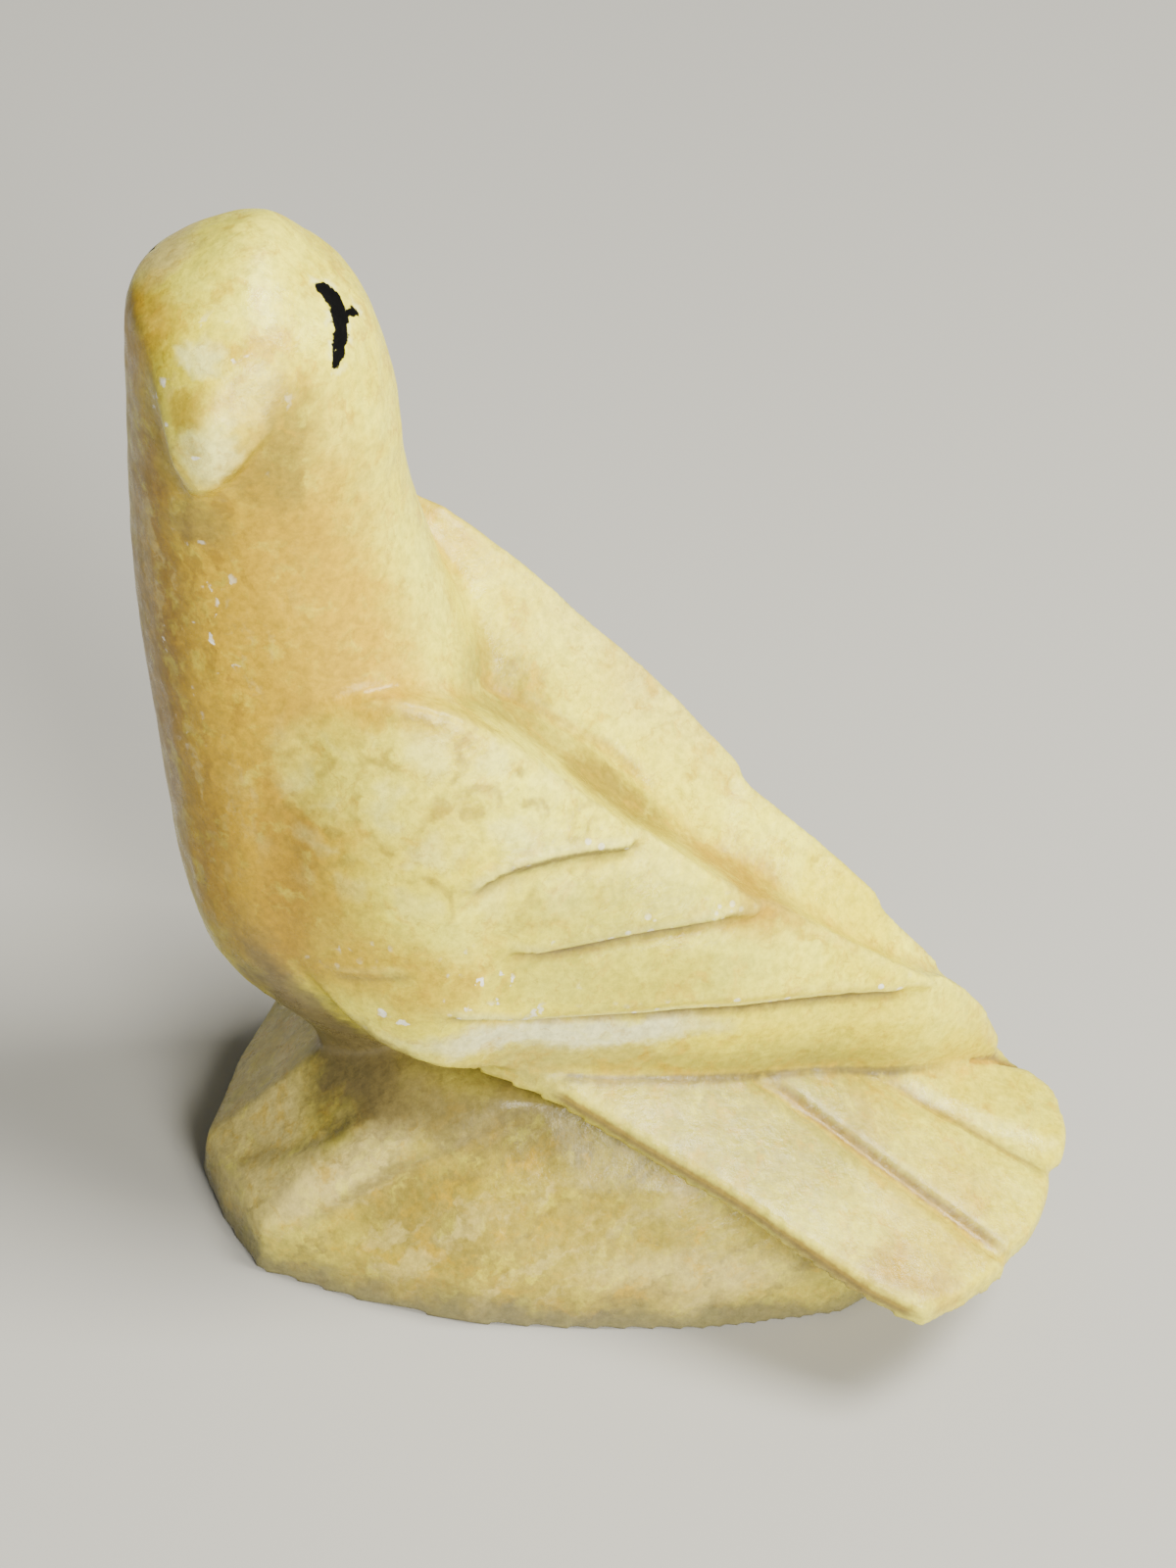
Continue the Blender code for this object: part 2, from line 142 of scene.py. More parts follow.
def nearestOnLine(points, line):
    # how far every point is from a line, the nearest place on it, its heading there and the share of the way
    line = np.array(line, dtype=float)
    lengths = np.linalg.norm(np.diff(line, axis=0), axis=1)
    best = np.full(len(points), np.inf)
    foot = np.zeros_like(points)
    heading = np.zeros_like(points)
    along = np.zeros(len(points))
    for index, length in enumerate(lengths):
        way = (line[index + 1] - line[index]) / length
        travel = np.clip((points - line[index]) @ way, 0.0, length)
        spot = line[index] + travel[:, None] * way
        gap = np.linalg.norm(points - spot, axis=1)
        closer = gap < best
        best[closer] = gap[closer]
        foot[closer] = spot[closer]
        heading[closer] = way
        along[closer] = (lengths[:index].sum() + travel[closer]) / lengths.sum()
    return best, foot, heading, along


def onSkin(piece, spot):
    # the place on the skin that is nearest to a spot
    return np.array(piece.closest_point_on_mesh([value * mm for value in spot])[1]) / mm


def smoothLine(piece, line):
    # the line as a smooth curve lying on the skin
    line = np.array(line, dtype=float)
    ends = np.vstack((2 * line[0] - line[1], line, 2 * line[-1] - line[-2]))
    curve = []
    for index in range(len(line) - 1):
        before, start, end, after = ends[index:index + 4]
        bend = 2 * before - 5 * start + 4 * end - after
        twist = 3 * start - before - 3 * end + after
        for part in np.linspace(0.0, 1.0, skinSettings["curveParts"] + 1)[:-1]:
            curve.append(0.5 * (2 * start + (end - before) * part + bend * part ** 2 + twist * part ** 3))
    curve.append(line[-1])
    curve = np.array([onSkin(piece, spot) for spot in curve])
    moved = np.linalg.norm(np.diff(curve, axis=0), axis=1) > skinSettings["shortestPart"]
    return curve[np.append(True, moved)]


def readSkin(piece):
    points = np.zeros(len(piece.data.vertices) * 3)
    normals = np.zeros(len(piece.data.vertices) * 3)
    piece.data.vertices.foreach_get("co", points)
    piece.data.vertices.foreach_get("normal", normals)
    return points.reshape(-1, 3) / mm, normals.reshape(-1, 3)


def writeSkin(piece, points):
    piece.data.vertices.foreach_set("co", (points * mm).ravel())
    piece.data.update()


def writeValues(piece, name, values):
    attribute = piece.data.attributes.new(name, "FLOAT", "POINT")
    attribute.data.foreach_set("value", values)


def applyModifier(piece, kind, name, **settings):
    bpy.ops.object.select_all(action="DESELECT")
    piece.select_set(True)
    bpy.context.view_layer.objects.active = piece
    modifier = piece.modifiers.new(name, kind)
    for setting, value in settings.items():
        setattr(modifier, setting, value)
    bpy.ops.object.modifier_apply(modifier=modifier.name)


def weightGroup(piece, name, weights):
    # a vertex group with the weights in steps of a tenth
    group = piece.vertex_groups.new(name=name)
    for share in range(1, 11):
        chosen = np.where(np.round(weights * 10) == share)[0]
        if len(chosen):
            group.add(chosen.tolist(), share / 10, "REPLACE")
    return name


def copyOfNode(nodeName, pieceName):
    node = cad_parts[nodeName]
    piece = bpy.data.objects.new(pieceName, node.data.copy())
    bpy.context.scene.collection.objects.link(piece)
    bpy.ops.object.select_all(action="DESELECT")
    piece.select_set(True)
    bpy.context.view_layer.objects.active = piece
    bpy.ops.object.mode_set(mode="EDIT")
    bpy.ops.mesh.select_all(action="SELECT")
    bpy.ops.mesh.remove_doubles(threshold=skinSettings["mergeGap"] * mm)
    bpy.ops.object.mode_set(mode="OBJECT")
    piece.data.materials.clear()
    return piece


def softenJoins(piece):
    points, _ = readSkin(piece)
    weights = np.zeros(len(points))
    for join in softJoins:
        distance = nearestOnLine(points, join["line"])[0]
        share = np.clip(skinSettings["joinSpread"] - distance / join["reach"], 0.0, 1.0)
        weights = np.maximum(weights, share)
    group = weightGroup(piece, "softJoins", weights)
    applyModifier(piece, "SMOOTH", "joins", factor=0.5, iterations=skinSettings["joinPasses"],
                  vertex_group=group)
    applyModifier(piece, "SMOOTH", "skin", factor=0.5, iterations=skinSettings["softPasses"])


def whittleFacets(piece):
    # flat knife facets: the skin is drawn part of the way to a coarse copy of itself
    coarse = bpy.data.objects.new("coarseFacets", piece.data.copy())
    bpy.context.scene.collection.objects.link(coarse)
    ratio = skinSettings["facetFaces"] / (2 * len(coarse.data.polygons))
    applyModifier(coarse, "DECIMATE", "facets", ratio=ratio)
    points, _ = readSkin(piece)
    height = points[:, 2]
    # the rock between its foot and the underside of the tail
    rock = np.clip((9.5 - height) / 2.0, 0.0, 1.0) * np.clip((17.0 - points[:, 1]) / 2.0, 0.0, 1.0)
    rock = rock * np.clip((height - 0.3) / 0.8, 0.0, 1.0)
    tailHeight = 14.0 - 0.3 * np.hypot(points[:, 0] - 0.8, points[:, 1] + 4.0)
    rock = rock * np.clip((tailHeight - 2.2 - height) / 0.8, 0.0, 1.0)
    # the neck and breast
    neck = np.clip((-7.0 - points[:, 1]) / 2.0, 0.0, 1.0) * np.clip((height - 12.0) / 3.0, 0.0, 1.0)
    weights = np.maximum(rock * skinSettings["rockFacets"], neck * skinSettings["neckFacets"])
    group = weightGroup(piece, "knifeFacets", weights)
    applyModifier(piece, "SHRINKWRAP", "facets", target=coarse, vertex_group=group)
    applyModifier(piece, "SMOOTH", "facetEdges", factor=0.5, iterations=skinSettings["facetPasses"],
                  vertex_group=group)
    bpy.data.objects.remove(coarse, do_unlink=True)


def carveStrokes(piece):
    # cuts the strokes and writes down how near every point lies to one, for the stone's colour
    points, _ = readSkin(piece)
    gaps = np.full(len(points), skinSettings["farGap"])
    sides = np.zeros(len(points))
    shades = {name: np.zeros(len(points)) for name in ("dark", "pale", "tint")}
    for stroke in strokes:
        points, normals = readSkin(piece)
        gap, foot, heading, along = nearestOnLine(points, smoothLine(piece, stroke["line"]))
        faces = np.array(stroke["faces"]) / np.linalg.norm(stroke["faces"])
        reached = np.clip((normals @ faces - 0.1) * 2.5, 0.0, 1.0)
        fade = stroke.get("fade", skinSettings["strokeFade"])
        reached = reached * np.clip(np.minimum(along, 1.0 - along) / fade + 0.1, 0.0, 1.0)
        across = np.cross(heading, normals)
        across = across * np.sign(across @ np.array(stroke["high"], dtype=float))[:, None]
        side = ((points - foot) * across).sum(axis=1)
        lift = stroke["step"] * np.tanh(side / stroke["width"]) * np.exp(-(gap / stroke["reach"]) ** 2)
        lift = lift - stroke["depth"] * np.exp(-(gap / stroke["width"]) ** 2)
        writeSkin(piece, points + normals * (lift * reached)[:, None])
        nearer = gap < gaps
        gaps[nearer] = gap[nearer]
        sides[nearer] = np.clip(side[nearer] / skinSettings["sideWidth"], -1.0, 1.0)
        for name in shades:
            shades[name][nearer] = (stroke.get(name, 0.0) * reached)[nearer]
    writeValues(piece, "lineGap", gaps)
    writeValues(piece, "lineSide", sides)
    for name, values in shades.items():
        writeValues(piece, name + "Line", values)


def roughenSkin(piece):
    clouds = bpy.data.textures.new("handWork", "CLOUDS")
    clouds.noise_scale = skinSettings["grainSize"] * mm
    clouds.noise_depth = 2
    points, _ = readSkin(piece)
    group = weightGroup(piece, "worked", np.clip((points[:, 2] - 0.4) / 1.0, 0.0, 1.0))
    applyModifier(piece, "DISPLACE", "handWork", texture=clouds, texture_coords="LOCAL", mid_level=0.5,
                  strength=skinSettings["grain"] * mm, vertex_group=group)


def flattenUnderside(piece):
    # the underside stays flat
    points, _ = readSkin(piece)
    points[:, 2] = np.maximum(points[:, 2], 0.0)
    points[points[:, 2] < skinSettings["flatBelow"], 2] = 0.0
    writeSkin(piece, points)


def markHollows(piece):
    # how hollow the stone is at every point, worked out twice: fine for cuts and broad for folds
    points, normals = readSkin(piece)
    edges = np.zeros(len(piece.data.edges) * 2, dtype=int)
    piece.data.edges.foreach_get("vertices", edges)
    first, second = edges.reshape(-1, 2).T
    count = np.bincount(first, minlength=len(points)) + np.bincount(second, minlength=len(points))

    def average(values):
        total = np.zeros_like(values)
        np.add.at(total, first, values[second])
        np.add.at(total, second, values[first])
        return total / (count[:, None] if values.ndim == 2 else count)

    for name, spread, gain in (("cuts", 3, 9.0), ("folds", 12, 1.6)):
        drawn = points
        for _ in range(spread):
            drawn = average(drawn)
        hollow = ((drawn - points) * normals).sum(axis=1) * gain
        for _ in range(2):
            hollow = average(hollow)
        writeValues(piece, name, np.clip(0.5 + hollow, 0.0, 1.0))


def carveBird():
    piece = copyOfNode(skinSettings["node"], "carvedBird")
    applyModifier(piece, "REMESH", "evenSkin", mode="VOXEL", voxel_size=skinSettings["voxel"] * mm)
    print("even skin:", len(piece.data.polygons), "faces")
    softenJoins(piece)
    whittleFacets(piece)
    roughenSkin(piece)
    carveStrokes(piece)
    flattenUnderside(piece)
    piece.vertex_groups.clear()
    markHollows(piece)
    bpy.ops.object.select_all(action="DESELECT")
    piece.select_set(True)
    bpy.context.view_layer.objects.active = piece
    bpy.ops.object.shade_smooth()
    return piece


# the stone's colours
stoneColours = {
    "cream": (0.84, 0.72, 0.015),
    "pale": (0.93, 0.87, 0.08),
    "honey": (0.60, 0.37, 0.003),
    "amber": (0.27, 0.14, 0.006),
    "green": (0.47, 0.44, 0.05),
    "pink": (0.72, 0.59, 0.20),
    "brown": (0.135, 0.102, 0.055),
    "olive": (0.20, 0.155, 0.05),
    "shade": (0.34, 0.265, 0.07),
    "umber": (0.33, 0.235, 0.02),
    "beige": (0.70, 0.58, 0.20),
    "chalk": (0.90, 0.90, 0.60),
    "grey": (0.16, 0.14, 0.075),
    "orange": (0.46, 0.27, 0.01),
    "white": (0.97, 0.95, 0.32),
    "glint": (1.0, 0.98, 0.85),
    "ink": (0.002, 0.002, 0.002),
}

# its polish, its fine relief, and the grain that makes it darker and brighter by turns
stoneSettings = {
    "smoothest": 0.20,
    "roughest": 0.42,
    "inkRoughness": 0.25,
    "glintPolish": 0.1,
    "refraction": 1.55,
    "gloss": 0.32,
    "inkGloss": 0.07,
    "reliefStrength": 0.6,
    "reliefHeight": 0.06,
    "grainShare": 0.6,
    "scratchShare": 0.7,
    "darkGrain": 0.76,
    "brightGrain": 1.18,
}

# patches of colour: where, its half sizes, colour, strength and, where it isn't upright, how it is turned
patches = [
    # neck and breast, from the middle to the shaded front; the amber there is partly its own colour and
    # partly painted shade
    {"at": (5.4, -12.0, 30.0), "size": (3.4, 6.4, 12.5), "colour": "honey", "strength": 0.95},
    {"at": (6.4, -13.4, 20.0), "size": (2.6, 3.6, 6.5), "colour": "honey", "strength": 0.9},
    {"at": (3.6, -18.3, 30.0), "size": (2.7, 2.4, 14.0), "colour": "amber", "strength": 0.9},
    {"at": (4.8, -16.2, 19.5), "size": (2.6, 2.6, 6.5), "colour": "amber", "strength": 0.65},
    {"at": (5.4, -13.8, 34.5), "size": (1.4, 1.8, 6.0), "colour": "honey", "strength": 0.5},
    {"at": (6.6, -11.6, 23.0), "size": (1.3, 1.3, 7.5), "colour": "orange", "strength": 0.75},
    {"at": (7.4, -10.2, 18.6), "size": (1.8, 2.6, 3.4), "colour": "orange", "strength": 0.55},
    {"at": (8.2, -6.5, 17.8), "size": (1.8, 3.6, 2.0), "colour": "honey", "strength": 0.6},
    # head
    # orange on the front of the head, partly its own colour and partly painted shade
    {"at": (2.6, -18.7, 43.0), "size": (2.2, 1.4, 2.4), "colour": "orange", "strength": 0.9},
    {"at": (-0.8, -18.2, 44.9), "size": (2.0, 1.4, 1.1), "colour": "pink", "strength": 0.8},
    {"at": (4.0, -13.4, 44.3), "size": (1.0, 1.9, 0.55), "colour": "honey", "strength": 0.7},
    {"at": (4.7, -12.5, 42.0), "size": (1.0, 1.1, 1.4), "colour": "umber", "strength": 0.8},
    {"at": (5.2, -13.2, 39.6), "size": (1.0, 1.3, 1.8), "colour": "umber", "strength": 0.8},
    {"at": (5.7, -16.2, 42.6), "size": (0.7, 1.0, 0.8), "colour": "orange", "strength": 0.6},
    # painted highlights on the bill: at its root, and low on it over its pale colour
    {"at": (4.7, -15.9, 44.1), "size": (0.8, 1.0, 0.55), "colour": "white", "strength": 0.8},
    {"at": (6.5, -15.0, 40.8), "size": (0.8, 1.2, 1.4), "colour": "white", "strength": 0.8},
    # pale on the crown: a painted highlight where the top of the head catches the light
    {"at": (-1.4, -13.8, 45.8), "size": (2.4, 4.2, 1.1), "colour": "pale", "strength": 0.7},
    # near wing
    {"at": (6.6, -8.4, 26.6), "size": (2.2, 3.4, 2.2), "colour": "pale", "strength": 0.7},
    {"at": (5.4, 0.6, 22.8), "size": (2.4, 4.6, 2.0), "colour": "pale", "strength": 0.6},
    {"at": (5.6, 1.2, 20.6), "size": (2.6, 5.4, 1.5), "colour": "green", "strength": 0.6},
    {"at": (5.4, 2.6, 17.4), "size": (2.8, 7.6, 1.5), "colour": "green", "strength": 0.5},
    {"at": (6.4, 0.6, 14.0), "size": (2.6, 7.0, 1.0), "colour": "chalk", "strength": 0.7},
    {"at": (6.0, 0.6, 12.2), "size": (2.8, 7.0, 0.9), "colour": "shade", "strength": 0.55},
    {"at": (2.4, 9.6, 12.4), "size": (2.6, 5.0, 2.0), "colour": "cream", "strength": 0.6},
    {"at": (7.0, -1.4, 24.2), "size": (1.2, 1.8, 0.9), "colour": "green", "strength": 0.4},
    # back between the wings, with painted shade in the valley beside the near wing, and the far wing
    {"at": (0.2, -4.2, 26.4), "size": (2.6, 2.8, 2.2), "colour": "umber", "strength": 0.8},
    {"at": (1.2, -5.0, 28.0), "size": (2.2, 1.6, 2.4), "colour": "green", "strength": 0.5},
    {"at": (1.2, 0.8, 22.9), "size": (1.9, 5.4, 2.4), "colour": "umber", "strength": 0.95},
    {"at": (1.4, 6.4, 19.3), "size": (2.1, 4.2, 1.8), "colour": "orange", "strength": 0.95},
    {"at": (-2.6, 4.0, 23.0), "size": (1.6, 8.0, 2.4), "colour": "pale", "strength": 0.5},
    # tail
    {"at": (3.6, 10.0, 9.4), "size": (4.6, 6.0, 1.6), "colour": "green", "strength": 0.7},
    {"at": (6.6, 16.6, 6.8), "size": (3.0, 4.0, 1.6), "colour": "honey", "strength": 0.4},
    {"at": (9.6, 12.6, 6.2), "size": (1.4, 6.0, 1.2), "colour": "orange", "strength": 0.8},
    {"at": (3.0, 12.8, 8.6), "size": (1.6, 1.6, 1.2), "colour": "honey", "strength": 0.45},
    {"at": (4.0, 7.5, 9.8), "size": (7.0, 6.4, 2.4), "colour": "green", "strength": 0.7},
    # the far side, plainer
    {"at": (-5.4, -12.5, 28.0), "size": (3.4, 6.4, 14.0), "colour": "honey", "strength": 0.7},
    {"at": (-6.4, -3.0, 20.0), "size": (4.0, 10.0, 9.0), "colour": "beige", "strength": 0.7},
    {"at": (-7.4, -7.0, 22.0), "size": (1.8, 3.0, 3.4), "colour": "pale", "strength": 0.6},
    # rock
    {"at": (2.0, 0.0, 2.5), "size": (14.0, 20.0, 8.5), "colour": "shade", "strength": 0.7},
    {"at": (6.4, -1.6, 8.2), "size": (2.4, 4.6, 1.3), "colour": "olive", "strength": 0.7},
    {"at": (8.4, -1.4, 5.2), "size": (3.4, 6.6, 2.6), "colour": "umber", "strength": 0.55},
    {"at": (8.6, -5.0, 4.4), "size": (2.6, 5.2, 1.6), "colour": "olive", "strength": 0.4,
     "turned": (-32, 0, 12)},
    {"at": (7.2, -8.2, 5.6), "size": (1.4, 4.6, 1.2), "colour": "pink", "strength": 0.9,
     "turned": (36, 0, 20)},
    # paler on the rock's front, partly its own colour and partly painted light where the bird's shadow falls
    {"at": (3.6, -13.2, 3.8), "size": (5.4, 4.0, 3.4), "colour": "beige", "strength": 0.95},
    {"at": (5.2, -13.0, 2.6), "size": (2.0, 2.0, 1.6), "colour": "shade", "strength": 0.3},
    {"at": (8.4, 6.4, 2.8), "size": (2.6, 4.6, 1.2), "colour": "pink", "strength": 0.55},
    {"at": (9.6, -1.0, 2.0), "size": (2.0, 9.0, 1.3), "colour": "umber", "strength": 0.6},
]

# layers over the patches, in turn: what they are read from, where they begin and where they are full, their
# colour and strength, and the zone that holds them
layers = [
    # mottling, soft scale-like lumps on the shoulder, and veins
    {"mask": "mottle", "from": 0.52, "to": 0.70, "colour": "honey", "strength": 0.55},
    {"mask": "mottle", "from": 0.48, "to": 0.30, "colour": "pale", "strength": 0.32},
    {"mask": "lumps", "from": 0.14, "to": 0.03, "colour": "umber", "strength": 0.6, "zone": "seams"},
    {"mask": "lumps", "from": 0.12, "to": 0.40, "colour": "white", "strength": 0.35, "zone": "shoulder"},
    {"mask": "veins", "from": 0.012, "to": 0.002, "colour": "orange", "strength": 0.30},
    # streaks along the neck and breast and down the rock
    {"mask": "neckStreaks", "from": 0.52, "to": 0.66, "colour": "amber", "strength": 0.5, "zone": "neck"},
    {"mask": "neckStreaks", "from": 0.44, "to": 0.34, "colour": "pink", "strength": 0.35, "zone": "neck"},
    {"mask": "rockStreaks", "from": 0.54, "to": 0.68, "colour": "pink", "strength": 0.4, "zone": "rock"},
    {"mask": "rockStreaks", "from": 0.46, "to": 0.32, "colour": "olive", "strength": 0.5, "zone": "rock"},
    # darker in the cuts and folds, partly dirt and partly painted shade; paler on the edges and bulges,
    # partly rubbed wear and partly painted highlight
    {"mask": "cuts", "from": 0.54, "to": 0.80, "colour": "honey", "strength": 0.45, "zone": "patchyWearAndShading"},
    {"mask": "cuts", "from": 0.42, "to": 0.15, "colour": "beige", "strength": 0.16, "zone": "patchyWearAndShading"},
    {"mask": "folds", "from": 0.6, "to": 1.0, "colour": "honey", "strength": 0.2},
    {"mask": "folds", "from": 0.42, "to": 0.1, "colour": "pale", "strength": 0.3},
]

# the colour of the knife lines: how unsteady they are, and where the line itself, the shadow on its low side
# and the pale edge on its high side begin and are full
# the line is partly dirt and partly painted shade, the shadow painted shade, the pale edge a painted
# highlight
lineSettings = {
    "unsteady": 0.22,
    "line": (0.32, 0.12),
    "shadow": (0.65, 0.22),
    "shadowStrength": 0.65,
    "edgeOutside": (0.75, 0.4),
    "edgeInside": (0.16, 0.34),
    "edgeStrength": 0.5,
    "lowSide": (0.3, -0.3),
    "highSide": (0.2, 0.9),
    "glintGap": (1.3, 0.6),
}

# painted shade where the bird hides the light: under the bill, along the belly, in the wedge below it and on
# the rock beneath; and darker round the rim at the foot of the rock
paintedShadeAndDarkRim = [
    {"at": (5.0, -15.6, 36.4), "size": (1.2, 1.2, 1.1), "colour": "olive", "strength": 0.55},
    {"at": (5.4, -10.8, 13.2), "size": (2.8, 5.0, 1.3), "colour": "brown", "strength": 0.8,
     "turned": (-60, 0, 0)},
    {"at": (4.4, -10.4, 11.6), "size": (2.8, 5.0, 1.9), "colour": "brown", "strength": 0.85,
     "turned": (-50, 0, 0)},
    {"at": (7.2, -6.4, 12.6), "size": (1.8, 4.0, 0.9), "colour": "olive", "strength": 0.8,
     "turned": (-22, 0, 0)},
    {"at": (4.4, -8.8, 8.3), "size": (3.4, 3.8, 1.9), "colour": "brown", "strength": 0.85},
    {"at": (4.4, -5.6, 9.0), "size": (4.6, 6.6, 1.7), "colour": "olive", "strength": 0.7},
    {"at": (-4.6, -9.6, 11.0), "size": (3.4, 5.4, 1.8), "colour": "olive", "strength": 0.8,
     "turned": (-50, 0, 0)},
    {"at": (3.0, -1.0, 0.0), "size": (16.0, 28.0, 1.5), "colour": "grey", "strength": 0.85},
]

# where painted glints lie loose: bright specks painted on as highlights
paintedGlintZones = [
    {"at": (8.0, -4.6, 16.8), "size": (2.2, 5.5, 2.4)},
    {"at": (5.2, -15.6, 42.0), "size": (2.2, 2.6, 3.0)},
    {"at": (5.0, -16.0, 31.0), "size": (1.6, 2.0, 5.0)},
]

# the inked eyes: places of the pen in turn, with half its width at each
inkStrokes = [
    [((0.45, -12.05, 44.6), 0.44), ((0.5, -11.7, 44.3), 0.42), ((0.9, -11.5, 44.05), 0.44),
     ((1.5, -11.3, 43.9), 0.38), ((2.0, -11.2, 43.6), 0.35), ((2.4, -11.2, 43.3), 0.28),
     ((2.9, -11.2, 43.05), 0.11)],
    [((0.9, -11.4, 44.0), 0.22), ((0.15, -11.0, 43.7), 0.20)],
    [((-1.3, -18.9, 43.9), 0.28), ((-2.0, -18.6, 43.4), 0.39), ((-2.6, -18.2, 42.8), 0.28),
     ((-2.9, -18.1, 42.3), 0.11)],
]


def addNode(tree, kind, settings=None, **inputs):
    # inputs named i0, i1 and so on are sockets by their number
    node = tree.nodes.new(kind)
    for name, value in (settings or {}).items():
        setattr(node, name, value)
    for name, value in inputs.items():
        socket = node.inputs[int(name[1:])] if name[0] == "i" and name[1:].isdigit() else node.inputs[name]
        if hasattr(value, "is_output"):
            tree.links.new(value, socket)
        else:
            socket.default_value = value
    return node


def mathOf(tree, operation, first, second=0.0, third=0.0, clamp=False):
    settings = {"operation": operation, "use_clamp": clamp}
    return addNode(tree, "ShaderNodeMath", settings, i0=first, i1=second, i2=third).outputs[0]


def product(tree, *values):
    total = values[0]
    for value in values[1:]:
        total = mathOf(tree, "MULTIPLY", total, value)
    return total


def vectorOf(tree, operation, first, second=(0.0, 0.0, 0.0)):
    node = addNode(tree, "ShaderNodeVectorMath", {"operation": operation}, i0=first, i1=second)
    isNumber = operation in ("LENGTH", "DOT_PRODUCT", "DISTANCE")
    return node.outputs["Value"] if isNumber else node.outputs["Vector"]


def scaledVector(tree, vector, factor):
    return addNode(tree, "ShaderNodeVectorMath", {"operation": "SCALE"}, i0=vector, Scale=factor).outputs[0]


def rampOf(tree, value, low, high, toLow=0.0, toHigh=1.0):
    settings = {"interpolation_type": "SMOOTHSTEP"}
    node = addNode(tree, "ShaderNodeMapRange", settings, i0=value, i1=low, i2=high, i3=toLow, i4=toHigh)
    return node.outputs[0]


def noiseOf(tree, place, scale, detail=3.0, roughness=0.5, distortion=0.0):
    node = addNode(tree, "ShaderNodeTexNoise", Vector=place, Scale=scale, Detail=detail,
                   Roughness=roughness, Distortion=distortion)
    return node.outputs["Fac"]


def cellsOf(tree, place, scale, feature="F1"):
    node = addNode(tree, "ShaderNodeTexVoronoi", {"feature": feature}, Scale=scale, Vector=place)
    return node.outputs["Distance"]


def strayed(tree, place, scale, detail, reach):
    # the place moved about by noise
    stray = addNode(tree, "ShaderNodeTexNoise", Vector=place, Scale=scale, Detail=detail).outputs["Color"]
    stray = scaledVector(tree, vectorOf(tree, "SUBTRACT", stray, (0.5, 0.5, 0.5)), 2.0 * reach)
    return vectorOf(tree, "ADD", stray, place)


def mixColour(tree, share, first, second):
    node = addNode(tree, "ShaderNodeMix", {"data_type": "RGBA"}, i0=share)
    for index, value in ((6, first), (7, second)):
        if hasattr(value, "is_output"):
            tree.links.new(value, node.inputs[index])
        else:
            node.inputs[index].default_value = (*value, 1.0)
    return node.outputs[2]


def mappedPlace(tree, place, at=(0, 0, 0), turned=(0, 0, 0), size=(1, 1, 1)):
    settings = {"vector_type": "TEXTURE"}
    node = addNode(tree, "ShaderNodeMapping", settings, Vector=place, Location=at, Scale=size)
    node.inputs["Rotation"].default_value = [math.radians(angle) for angle in turned]
    return node.outputs[0]


def zoneOf(tree, place, at, size, turned=(0, 0, 0), edge=0.45):
    local = mappedPlace(tree, place, at, turned, size)
    return rampOf(tree, vectorOf(tree, "LENGTH", local), 1.0 + edge, 1.0 - edge)


def addPatches(tree, colour, place, chosen):
    for patch in chosen:
        share = zoneOf(tree, place, patch["at"], patch["size"], patch.get("turned", (0, 0, 0)))
        share = product(tree, share, patch["strength"])
        colour = mixColour(tree, share, colour, stoneColours[patch["colour"]])
    return colour


def addLayers(tree, colour, place, wandered, attributes):
    veins = mathOf(tree, "SUBTRACT", noiseOf(tree, wandered, 0.35, 3.0, 0.5, 1.2), 0.5)
    alongNeck = mappedPlace(tree, wandered, turned=(8, 0, 0), size=(1.0, 1.0, 5.0))
    downRock = mappedPlace(tree, wandered, turned=(34, 0, 22), size=(1.0, 5.0, 1.0))
    masks = {
        "mottle": noiseOf(tree, wandered, 0.8, 5.0, 0.62, 0.3),
        "lumps": cellsOf(tree, strayed(tree, place, 0.9, 3.0, 0.9), 0.40, "DISTANCE_TO_EDGE"),
        "veins": mathOf(tree, "ABSOLUTE", veins),
        "neckStreaks": noiseOf(tree, alongNeck, 0.9, 4.0, 0.65),
        "rockStreaks": noiseOf(tree, downRock, 0.75, 4.0, 0.65),
        "cuts": attributes["cuts"],
        "folds": attributes["folds"],
    }
    shoulder = zoneOf(tree, place, (6.0, -5.5, 25.2), (4.0, 7.0, 4.6))
    broken = rampOf(tree, noiseOf(tree, place, 0.5, 2.0, 0.5, 0.9), 0.42, 0.58)
    zones = {
        "shoulder": shoulder,
        "seams": product(tree, shoulder, broken),
        "neck": zoneOf(tree, place, (4.0, -17.0, 29.0), (6.0, 4.5, 14.0)),
        "rock": zoneOf(tree, place, (3.0, -2.0, 2.0), (10.0, 18.0, 7.5), edge=0.15),
        # patches that hold the darker cuts, dirt and painted shade, and their paler edges, wear and painted
        # highlight
        "patchyWearAndShading": rampOf(tree, noiseOf(tree, place, 1.1, 3.0, 0.6), 0.35, 0.65, 0.3, 1.0),
    }
    for layer in layers:
        share = rampOf(tree, masks[layer["mask"]], layer["from"], layer["to"], 0.0, layer["strength"])
        if "zone" in layer:
            share = product(tree, share, zones[layer["zone"]])
        colour = mixColour(tree, share, colour, stoneColours[layer["colour"]])
    return colour


